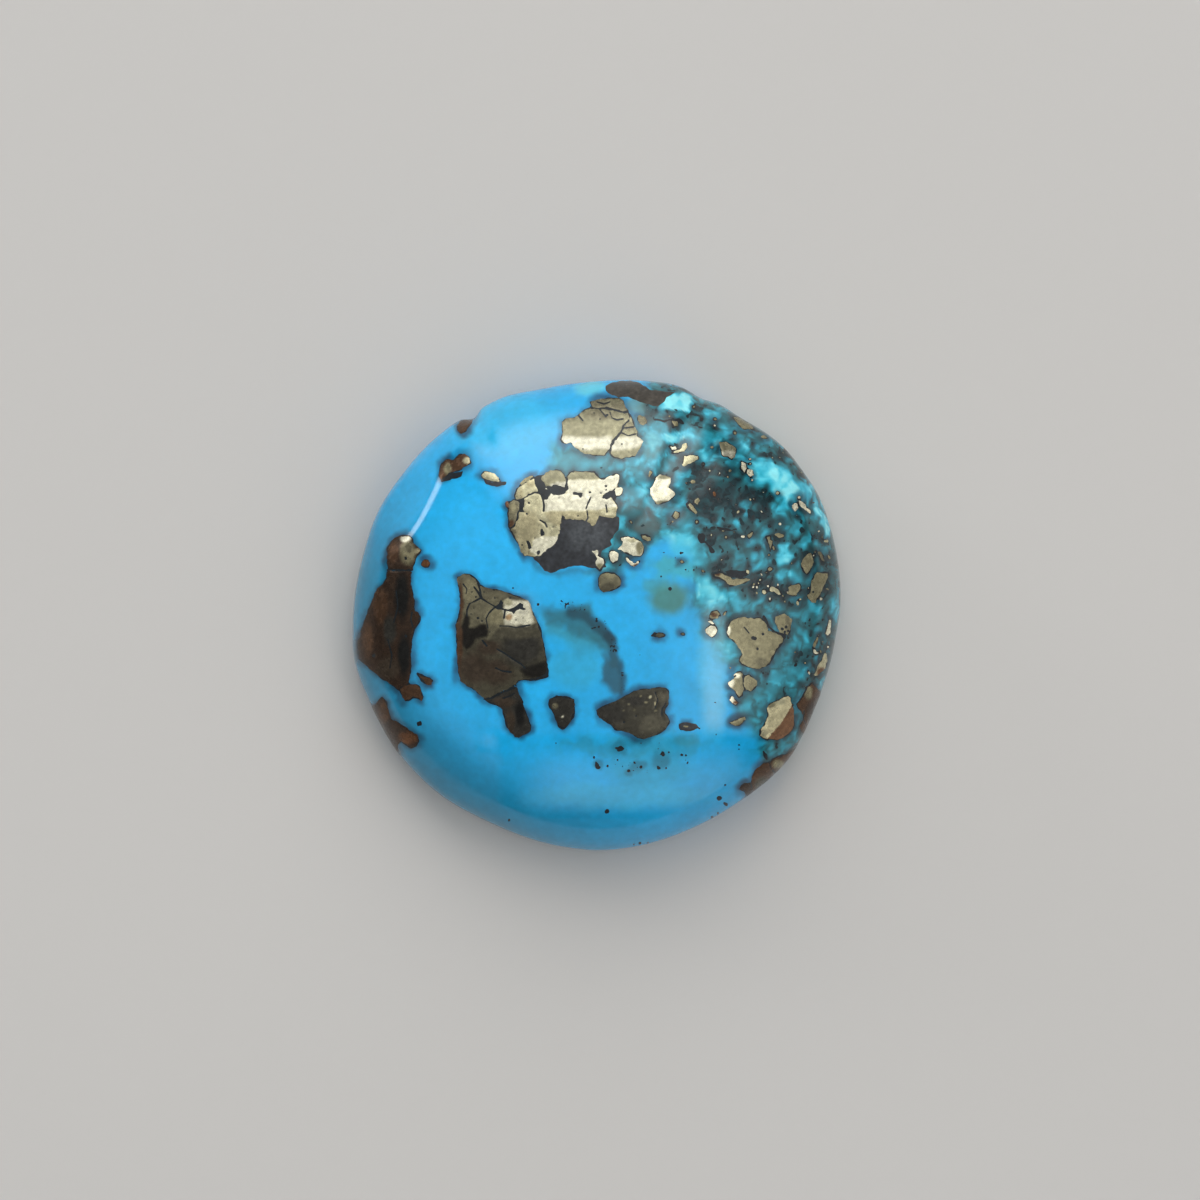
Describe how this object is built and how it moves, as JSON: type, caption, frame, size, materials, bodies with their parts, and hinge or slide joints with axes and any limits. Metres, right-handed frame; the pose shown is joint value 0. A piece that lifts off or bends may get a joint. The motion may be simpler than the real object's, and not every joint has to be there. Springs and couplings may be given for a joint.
{
  "type": "polished turquoise cabochon",
  "caption": "Loose polished turquoise cabochon: a nearly round low dome with a flat back, for setting or display; blue stone with golden mineral grains and dark webbing.",
  "frame": {"origin": "centre of the flat back's bounding box, on the back", "axes": "+Z out of the dome, +X along the longest width, +Y towards the side whose shoulder has the small nick"},
  "size_m": [0.0266, 0.0256, 0.0078],
  "materials": {
    "turquoise": "polished, sky blue with dark teal webbing and flush golden grains",
    "pyrite": "polished metallic grains, pale brass to dull brown, flush with the stone"
  },
  "bodies": {
    "root": {"turquoise_cabochon": "turquoise"}
  },
  "joints": []
}
